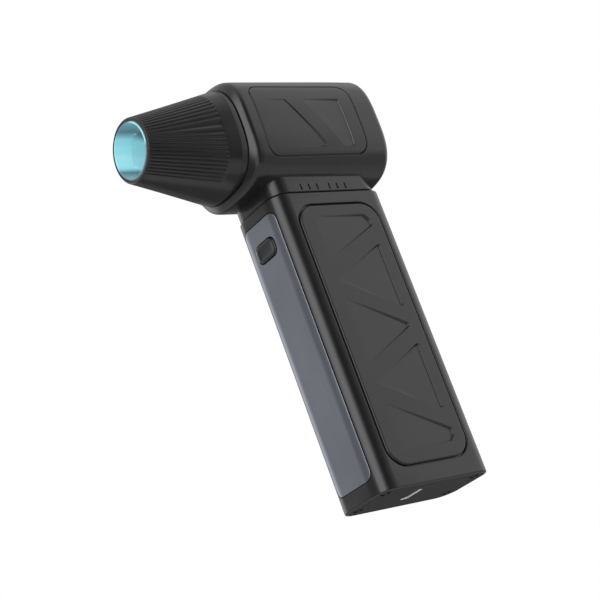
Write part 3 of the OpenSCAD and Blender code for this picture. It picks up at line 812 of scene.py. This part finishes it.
def make_nozzle(material):
    """Tapered nozzle: a plain ring, fine ribs along the cone and a thin round mouth."""
    bend, fade_back, fade_front = 0.45, 1.1, 0.35
    rows = [(NOZZLE_HIGH.x, SPIGOT_H, HEAD_N, 0), (RING_BACK + 0.08, SPIGOT_H, 2.8, 0),
            (RING_BACK + 0.02, SPIGOT_H + 0.03, 2.7, 0), (RING_BACK, SPIGOT_H + 0.1, RING_N, 0),
            (RING_BACK, RING_H - 0.15, RING_N, 0), (RING_BACK - 0.04, RING_H - 0.05, RING_N, 0)]
    rows += [(x, RING_H, RING_N, 0)
             for x in (RING_BACK - 0.14, RING_BACK - 0.14 - HOLD, -28.4, -28.9, RING_FRONT)]
    step = RING_H - cone_size(RING_FRONT - 0.3)
    rows += [(RING_FRONT - 0.22 * sin, RING_H - step * (1 - cos), RING_N, 0) for sin, cos in quarter(4)[1:]]
    rows += [cone_row(x) for x in (RING_FRONT - 0.3, RING_FRONT - 0.36)]
    rows += [cone_row(x) for x in np.linspace(RING_FRONT - 0.6, RIB_BACK, 5)]
    rows += [cone_row(RIB_BACK - fade_back * k / 7, ease(k / 7)) for k in range(1, 8)]
    rows += [cone_row(x, 1) for x in np.linspace(RIB_BACK - fade_back - 0.5, RIB_FRONT + 2 * fade_front, 18)]
    rows += [cone_row(RIB_FRONT + fade_front * k / 5, ease(k / 5)) for k in range(5, -1, -1)]
    rows += [(TIP_X + bend * (1 - sin), TIP_R + 0.02 - bend * (1 - cos), 2.0, 0) for sin, cos in quarter(6)]
    rows += [(TIP_X, TIP_R - TIP_WALL + 0.08, 2.0, 0), (TIP_X + 0.08, TIP_R - TIP_WALL, 2.0, 0),
             (BORE_X, BORE_R, 2.0, 0), (NOZZLE_HIGH.x, BORE_R + 0.8, 2.0, 0)]
    count = RIBS * len(RIB_GROOVE)
    turns = np.arange(count) * 2 * math.pi / count
    plain = 0.01                                # the ribs end within this, as the underside is plain
    wave = np.tile(RIB_GROOVE, RIBS) * np.clip((np.sin(turns) + RIB_LOW + plain) / plain, 0, 1)
    rings = []
    for x, half, power, rib in rows:
        y, w = super_point(turns, half, power)
        shrink = 1 - rib * RIB_DEPTH * wave / np.hypot(y, w)
        rings.append(np.stack([np.full(count, x), y * shrink, AXIS_Z + w * shrink], axis=1))
    return piece("nozzle_body", [grid(rings)], material, replaces=["nozzle_shell"],
                 sharp=math.radians(50))


def make_sleeve(material):
    """Light-coloured sleeve that lines the nozzle, with a rolled lip and a straight mouth."""
    play, end = 0.1, LINER_HIGH.x
    outer = TIP_R - TIP_WALL - play
    wide = BORE_R + (TIP_R - TIP_WALL - BORE_R) * (BORE_X - end) / (BORE_X - TIP_X) - play
    mouth, land = TIP_X - SLEEVE_PROUD, TIP_X + SLEEVE_LAND
    profile = [(mouth, outer), (mouth, outer - SLEEVE_WALL), (land, outer - SLEEVE_WALL),
               (end, wide - SLEEVE_WALL), (end, wide)]
    rows = rounded_profile(profile, 0.18, 5)
    return piece("nozzle_sleeve", [turned(rows, 144)], material, replaces=["nozzle_liner"])


# ---------------------------------------------------------------- intake

def make_grille(material):
    """Round intake grille: rings on six spokes about a hub, and a ring behind them that holds it."""
    back = HEAD_HIGH.x
    patches = []
    for outer, inner in ((13.0, 11.9), (10.6, 9.7), (8.4, 7.5), (6.2, 5.3)):
        box = [(back - 2, inner), (back - 0.6, inner), (back - 0.6, outer), (back - 2, outer)]
        patches.append(turned(rounded_profile(box, 0.3), 128))
    base = [(back - 3.2, 12.4), (back - 1.9, 12.4), (back - 1.9, 14.4), (back - 3.2, 14.4)]
    patches.append(turned(rounded_profile(base, 0.2), 128))
    hub = [(back - 2, 0.02), (back - 0.46, 0.02), (back - 0.4, 2.2), (back - 0.52, 3.1), (back - 0.8, 3.5),
           (back - 1.1, 3.6), (back - 2, 3.6)]
    patches.append(turned(hub, 64))
    sides, thick = 16, 0.6
    shape = np.stack(super_point(np.arange(sides) * 2 * math.pi / sides, thick, 4), axis=1)
    for k in range(6):
        a = math.pi / 3 * k
        out, across = np.array([math.cos(a), math.sin(a)]), np.array([-math.sin(a), math.cos(a)])
        rings = []
        for r in (3.2, 8.0, 12.4):
            centre = out * r + np.array([0, AXIS_Z])
            rings.append([(back - 1.3 + s[1], *(centre + across * s[0])) for s in shape])
        points, faces = grid(rings, wrap_rows=False)
        faces += [list(range(sides)), list(range(2 * sides, 3 * sides))[::-1]]
        patches.append((points, faces))
    return piece("intake_grille", patches, material, replaces=["rear_grille"])


# ---------------------------------------------------------------- materials

def fill_ramp(ramp, stops):
    """Gives a colour ramp node its stops; a plain number stands for a grey."""
    elements = ramp.color_ramp.elements
    while len(elements) > 1:
        elements.remove(elements[-1])
    elements[0].position = stops[0][0]
    for i, (spot, colour) in enumerate(stops):
        element = elements.new(spot) if i else elements[0]
        element.color = colour if isinstance(colour, tuple) else (colour, colour, colour, 1)


def add_node(tree, kind, **settings):
    """Adds a node; names with a capital are inputs to set or link, with underscores for spaces."""
    made = tree.nodes.new(kind)
    for key, value in settings.items():
        if key[0].islower():
            setattr(made, key, value)
        elif isinstance(value, bpy.types.NodeSocket):
            tree.links.new(value, made.inputs[key.replace("_", " ")])
        else:
            made.inputs[key.replace("_", " ")].default_value = value
    return made


class Look:
    """A procedural material, built a node at a time."""

    def __init__(self, name):
        self.material = bpy.data.materials.new(name)
        self.material.use_nodes = True
        self.tree = self.material.node_tree
        self.tree.nodes.clear()
        self.place = self.node("ShaderNodeTexCoord").outputs["Object"]

    def node(self, kind, **settings):
        return add_node(self.tree, kind, **settings)

    def stretched(self, x, y, z):
        """Object coordinates with their own scale along each axis."""
        return self.node("ShaderNodeMapping", Vector=self.place, Scale=(x, y, z)).outputs["Vector"]

    def noise(self, scale, detail=2.0, rough=0.5, vector=None):
        return self.node("ShaderNodeTexNoise", Vector=vector or self.place, Scale=scale, Detail=detail,
                         Roughness=rough).outputs["Fac"]

    def bands(self, direction, scale, distortion):
        return self.node("ShaderNodeTexWave", bands_direction=direction, Vector=self.place, Scale=scale,
                         Distortion=distortion).outputs["Fac"]

    def ramp(self, value, stops):
        """Colours or greys at points from 0 to 1."""
        made = self.node("ShaderNodeValToRGB", Fac=value)
        fill_ramp(made, stops)
        return made.outputs["Color"]

    def span(self, value, low, high, start=0.0, end=1.0):
        return self.node("ShaderNodeMapRange", Value=value, From_Min=start, From_Max=end, To_Min=low,
                         To_Max=high).outputs["Result"]

    def height(self, start, end):
        """From 0 to 1 between two levels in metres."""
        split = self.node("ShaderNodeSeparateXYZ", Vector=self.place)
        return self.span(split.outputs["Z"], 0, 1, start, end)

    def times(self, a, b):
        """Product of two colours."""
        return self.node("ShaderNodeMix", data_type="RGBA", blend_type="MULTIPLY", Factor=1.0, A=a,
                         B=b).outputs["Result"]

    def bump(self, height, strength, depth, **more):
        return self.node("ShaderNodeBump", Height=height, Strength=strength, Distance=depth,
                         **more).outputs["Normal"]

    def done(self, **values):
        """The material, with inputs of its shader set or linked."""
        shader = self.node("ShaderNodeBsdfPrincipled", **values)
        self.node("ShaderNodeOutputMaterial", Surface=shader.outputs["BSDF"])
        return self.material


def shade(colour, factor):
    return (*(min(1, c * factor) for c in colour), 1)


def plastic(name, colour, rough, grain):
    """Moulded plastic: slight changes of tone and gloss, and a fine grain."""
    look = Look(name)
    coarse, fine = 1400, 9000
    tone = look.ramp(look.noise(55, 3), [(0.3, shade(colour, 0.88)), (0.7, shade(colour, 1.14))])
    gloss = look.span(look.noise(coarse, 4), *rough, 0.3, 0.7)
    grained = look.bump(look.noise(fine, 2), grain, 0.00002)
    grained = look.bump(look.noise(coarse, 3), grain * 0.8, 0.00003, Normal=grained)
    return look.done(Base_Color=tone, Roughness=gloss, Normal=grained)


def metal(name, colour, rough, stretch=(1, 1, 1), depth=0.3):
    """Worked metal: tone, gloss and fine marks that may run along one axis."""
    look = Look(name)
    marks = look.noise(1500, 5, 0.6, look.stretched(*stretch))
    tone = look.ramp(marks, [(0.25, shade(colour, 0.82)), (0.75, shade(colour, 1.12))])
    gloss = look.span(marks, *rough, 0.3, 0.7)
    return look.done(Base_Color=tone, Roughness=gloss, Metallic=1.0, Normal=look.bump(marks, depth, 0.00001))


def painted_light_sleeve(name):
    """Glossy blue-green sleeve with painted bands of light and shade by height, a pale band of painted
    highlight, and a painted glow in the same colours, though the sleeve is no lamp.
    """
    look = Look(name)
    # painted shade at the top and bottom, painted light between, a pale painted highlight band; the same
    # colour is painted on again as glow
    dim, lit, pale = (0.075, 0.15, 0.18, 1), (0.23, 0.53, 0.59, 1), (0.29, 0.57, 0.63, 1)
    tone = look.ramp(look.height((AXIS_Z - 9) * MM, (AXIS_Z + 9) * MM),
                     [(0.0, dim), (0.34, dim), (0.43, lit), (0.6, pale), (0.68, lit), (0.86, lit),
                      (0.93, dim), (1.0, dim)])
    cloud = look.noise(260, 3, vector=look.stretched(0.2, 1, 1))
    colour = look.times(tone, look.ramp(cloud, [(0.3, 0.86), (0.7, 1.0)]))
    return look.done(Base_Color=colour, Roughness=look.span(look.noise(900, 3), 0.06, 0.14, 0.3, 0.7),
                     Emission_Color=colour, Emission_Strength=0.8, Coat_Weight=0.6, Coat_Roughness=0.05,
                     Normal=look.bump(look.noise(1200, 2), 0.04, 0.00002))


def board(name):
    """Circuit board: green mask with faint tracks."""
    look = Look(name)
    cells = look.node("ShaderNodeTexBrick", Vector=look.stretched(420, 420, 420),
                      Color1=(0.010, 0.115, 0.045, 1), Color2=(0.012, 0.135, 0.055, 1),
                      Mortar=(0.02, 0.19, 0.08, 1), Scale=1.0, Mortar_Size=0.03)
    return look.done(Base_Color=cells.outputs["Color"], Roughness=look.span(look.noise(1500, 3), 0.3, 0.45),
                     Normal=look.bump(cells.outputs["Fac"], 0.2, 0.00003))


def winding(name):
    """Enamelled copper wire, wound side by side."""
    look = Look(name)
    bands = look.bands("DIAGONAL", 900, 0.6)
    tone = look.ramp(bands, [(0.2, (0.40, 0.13, 0.04, 1)), (0.7, (0.86, 0.38, 0.16, 1))])
    return look.done(Base_Color=tone, Metallic=0.9, Roughness=look.span(bands, 0.45, 0.22),
                     Normal=look.bump(bands, 0.6, 0.00008))


def stacked(name):
    """Pressed steel sheets in a stack along the axis."""
    look = Look(name)
    bands = look.bands("X", 700, 0.15)
    tone = look.ramp(bands, [(0.3, (0.16, 0.165, 0.175, 1)), (0.7, (0.42, 0.43, 0.45, 1))])
    return look.done(Base_Color=tone, Metallic=1.0, Roughness=look.span(look.noise(1800, 4), 0.3, 0.5),
                     Normal=look.bump(bands, 0.5, 0.00006))


def anodised(name):
    """Blue-grey anodised plate, finely brushed along its length."""
    look = Look(name)
    marks = look.noise(2600, 4, 0.6, look.stretched(1, 1, 0.03))
    tone = look.ramp(look.noise(40, 2), [(0.3, (0.235, 0.250, 0.290, 1)), (0.7, (0.275, 0.292, 0.335, 1))])
    colour = look.times(tone, look.ramp(marks, [(0.3, 0.93), (0.7, 1.0)]))
    return look.done(Base_Color=colour, Metallic=1.0, Roughness=look.span(marks, 0.27, 0.36, 0.3, 0.7),
                     Normal=look.bump(marks, 0.12, 0.00001))


def socket_with_painted_light(name):
    """Socket shell: a painted highlight along its rolled lip and painted shade deeper in."""
    look = Look(name)
    # painted highlight near the mouth, painted shade higher up inside the shell
    tone = look.ramp(look.height(0, 2 * MM), [(0.18, (0.92, 0.92, 0.9, 1)), (0.3, 0.12)])
    return look.done(Base_Color=tone, Roughness=look.span(look.noise(1800, 3), 0.15, 0.25), Metallic=0.15,
                     Normal=look.bump(look.noise(3000, 2), 0.06, 0.00001))


def lamp(name):
    """Yellow-white chip of a lamp, lit."""
    look = Look(name)
    tone = look.ramp(look.noise(900, 2), [(0.3, (0.90, 0.95, 0.86, 1)), (0.7, (1.0, 1.0, 0.94, 1))])
    return look.done(Base_Color=tone, Roughness=0.25, Emission_Color=tone, Emission_Strength=3.0,
                     Normal=look.bump(look.noise(2400, 2), 0.1, 0.00002))


BLACK = (0.0155, 0.0155, 0.0165)
LOOKS = {
    "shell": plastic("shell_plastic", BLACK, (0.11, 0.16), 0.04),
    "cap": plastic("cap_plastic", (0.017, 0.017, 0.018), (0.33, 0.42), 0.09),
    "nozzle": plastic("nozzle_plastic", BLACK, (0.2, 0.26), 0.03),
    "grip": plastic("grip_plastic", (0.0155, 0.0155, 0.016), (0.17, 0.23), 0.05),
    "inlay": plastic("inlay_plastic", BLACK, (0.16, 0.22), 0.04),
    "button": plastic("button_plastic", (0.013, 0.013, 0.015), (0.18, 0.24), 0.04),
    "sleeve": painted_light_sleeve("sleeve_painted_light"),
    "trim": anodised("trim_anodised"),
    "duct": plastic("duct_plastic", (0.045, 0.047, 0.05), (0.4, 0.5), 0.12),
    "rubber": plastic("damper_rubber", (0.012, 0.012, 0.013), (0.62, 0.78), 0.3),
    "switch": plastic("switch_plastic", (0.10, 0.10, 0.11), (0.35, 0.45), 0.08),
    "chip": plastic("chip_plastic", (0.018, 0.018, 0.02), (0.4, 0.55), 0.1),
    "holder": plastic("holder_plastic", (0.55, 0.54, 0.50), (0.38, 0.5), 0.1),
    "wrap": plastic("cell_wrap", (0.02, 0.16, 0.34), (0.18, 0.28), 0.05),
    "capacitor": plastic("capacitor_wrap", (0.02, 0.05, 0.22), (0.2, 0.3), 0.05),
    "lead": plastic("lead_rubber", (0.42, 0.02, 0.015), (0.42, 0.55), 0.12),
    "filter": metal("filter_steel", (0.42, 0.43, 0.45), (0.28, 0.42)),
    "fan": metal("fan_metal", (0.58, 0.59, 0.61), (0.3, 0.42), (0.05, 1, 1), 0.3),
    "impeller": metal("impeller_metal", (0.55, 0.56, 0.58), (0.22, 0.34), (0.3, 1, 1), 0.25),
    "steel": metal("polished_steel", (0.62, 0.62, 0.63), (0.1, 0.2), (0.08, 1, 1), 0.15),
    "magnet": metal("magnet_nickel", (0.50, 0.49, 0.46), (0.2, 0.3)),
    "brass": metal("nut_brass", (0.70, 0.50, 0.22), (0.2, 0.32), (0.2, 1, 1)),
    "screw": metal("screw_steel", (0.16, 0.16, 0.17), (0.28, 0.4)),
    "nickel": metal("nickel_plate", (0.80, 0.79, 0.76), (0.14, 0.24), (1, 1, 0.1), 0.2),
    "socket": socket_with_painted_light("socket_nickel_painted_light"),
    "core": stacked("core_steel"),
    "copper": winding("copper_wire"),
    "board": board("board_green"),
    "lamp": lamp("lamp_lit"),
}

# CAD parts that keep their own mesh, by look
CARRIED = {
    "board": ["led_board", "switch_board", "main_board", "charge_board"],
    "lamp": ["leds"],
    "filter": ["intake_filter"],
    "duct": ["inlet_ring", "air_guide", "tail_cone"],
    "fan": ["fan_housing", "motor_end_plate"],
    "rubber": ["front_damper", "rear_damper"],
    "core": ["stator_core"],
    "copper": ["stator_windings"],
    "magnet": ["rotor_magnet"],
    "steel": ["motor_shaft", "front_bearing", "rear_bearing"],
    "impeller": ["impeller"],
    "brass": ["impeller_nut"],
    "lead": ["motor_leads", "battery_leads"],
    "screw": ["neck_screws"],
    "switch": ["switch_plunger"],
    "chip": ["tact_switch", "board_chips", "charge_chips", "usb_tongue"],
    "capacitor": ["filter_capacitor"],
    "wrap": ["cell_front", "cell_rear"],
    "nickel": ["nickel_strips"],
    "holder": ["cell_holder_lower", "cell_holder_upper"],
}

for look, nodes in CARRIED.items():
    for node in nodes:
        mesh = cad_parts[node].data
        mesh.materials.clear()
        mesh.materials.append(LOOKS[look])

make_head(LOOKS["shell"])
make_inlay("inlay_left", "head_inlay_left", -1, LOOKS["inlay"])
make_inlay("inlay_right", "head_inlay_right", 1, LOOKS["inlay"])
make_collar(LOOKS["shell"])
make_handle(LOOKS["shell"])
make_grip("grip_left", "side_grip_left", -1, LOOKS["grip"])
make_grip("grip_right", "side_grip_right", 1, LOOKS["grip"])
make_trim(LOOKS["trim"])
make_button(LOOKS["button"])
make_cap(LOOKS["cap"])
make_screws(LOOKS["screw"])
make_socket(LOOKS["socket"])
make_nozzle(LOOKS["nozzle"])
make_sleeve(LOOKS["sleeve"])
make_grille(LOOKS["nozzle"])


# ---------------------------------------------------------------- studio

def make_floor():
    """Pale floor a little under the handle."""
    level, reach, count = -0.14, 3.0, 12
    side = np.linspace(-reach, reach, count + 1)
    points, faces = grid([[(x, y, level) for y in side] for x in side], False, False)
    mesh = bpy.data.meshes.new("floor")
    mesh.from_pydata(points.tolist(), [], faces)
    if mesh.polygons[0].normal.z < 0:
        mesh.flip_normals()
    look = Look("floor_paint")
    tone = look.ramp(look.noise(2, 2), [(0.3, 0.90), (0.7, 0.91)])
    mesh.materials.append(look.done(Base_Color=tone, Roughness=0.75))
    floor = bpy.data.objects.new("floor", mesh)
    bpy.context.scene.collection.objects.link(floor)
    floor.visible_glossy = False


def make_world():
    """Soft studio: brightness depends on direction, and the backdrop itself is white."""
    world = bpy.data.worlds.new("studio")
    bpy.context.scene.world = world
    world.use_nodes = True
    tree = world.node_tree
    tree.nodes.clear()

    def node(kind, **settings):
        return add_node(tree, kind, **settings)

    def sums(operation, a, b):
        made = node("ShaderNodeMath", operation=operation)
        for socket, value in zip(made.inputs, (a, b)):
            if isinstance(value, bpy.types.NodeSocket):
                tree.links.new(value, socket)
            else:
                socket.default_value = value
        return made.outputs["Value"]

    way = node("ShaderNodeSeparateXYZ", Vector=node("ShaderNodeTexCoord").outputs["Generated"])

    def rise(start, end, low=0.0):
        """Goes smoothly from low to 1 as the direction's height goes from start to end."""
        return node("ShaderNodeMapRange", interpolation_type="SMOOTHSTEP", Value=way.outputs["Z"],
                    From_Min=start, From_Max=end, To_Min=low).outputs["Result"]

    def towards(level, share, light):
        """The light, turned into a level by a share."""
        return node("ShaderNodeMix", data_type="FLOAT", Factor=share, A=light, B=level).outputs["Result"]

    # brightness by degrees round from -Y towards -X, which run as 0 to 1 with -Y at a half
    stops = [(-180, 1.6), (-158, 0.4), (-139, 0.22), (-118, 0.4), (-95, 1.2), (-75, 1.4), (-42, 1.45),
             (-30, 0.66), (-17, 0.42), (-6, 0.14), (8, 0.01), (20, 0.22), (31, 1.9), (41, 3.8), (62, 3.8),
             (76, 0.8), (90, 0.4), (112, 0.4), (134, 0.5), (146, 0.9), (160, 1.6), (180, 1.9)]
    brightest = 4.0
    x, y = (sums("MULTIPLY", way.outputs[axis], -1.0) for axis in "XY")
    turn = sums("DIVIDE", sums("ARCTAN2", x, y), 2 * math.pi)
    ring = node("ShaderNodeValToRGB", Fac=sums("ADD", turn, 0.5))
    fill_ramp(ring, [(degrees / 360 + 0.5, level / brightest) for degrees, level in stops])
    light = towards(1.0, rise(0.5, 0.95), sums("MULTIPLY", ring.outputs["Color"], brightest))
    light = sums("MULTIPLY", light, rise(-0.42, -0.1, 0.42))        # dim below the horizon
    light = towards(0.75, rise(-0.62, -0.76), light)                # a pale floor straight below
    studio = node("ShaderNodeBackground", Strength=light)
    backdrop = node("ShaderNodeBackground", Strength=1.0, Color=(1, 1, 1, 1))
    choose = node("ShaderNodeMixShader", Fac=node("ShaderNodeLightPath").outputs["Is Camera Ray"])
    tree.links.new(studio.outputs["Background"], choose.inputs[1])
    tree.links.new(backdrop.outputs["Background"], choose.inputs[2])
    node("ShaderNodeOutputWorld", Surface=choose.outputs["Shader"])


def make_camera():
    """Looks up at the dryer from below its nozzle's left, tilted, as in the photograph."""
    azimuth, rise, roll = math.radians(-41.18), math.radians(-17.71), math.radians(-20.31)
    back = Vector((math.sin(azimuth) * math.cos(rise), -math.cos(azimuth) * math.cos(rise), math.sin(rise)))
    turn = (-back).to_track_quat("-Z", "Y") @ Quaternion((0, 0, 1), roll)
    lens = bpy.data.cameras.new("camera")
    lens.lens = 96.07
    lens.sensor_width = 36
    lens.clip_start = 0.01
    camera = bpy.data.objects.new("camera", lens)
    bpy.context.scene.collection.objects.link(camera)
    camera.location = Vector((-313.6, -339.8, -79.9)) * MM
    camera.rotation_mode = "QUATERNION"
    camera.rotation_quaternion = turn
    bpy.context.scene.camera = camera


make_floor()
make_world()
make_camera()
bpy.context.scene.view_settings.view_transform = "Standard"
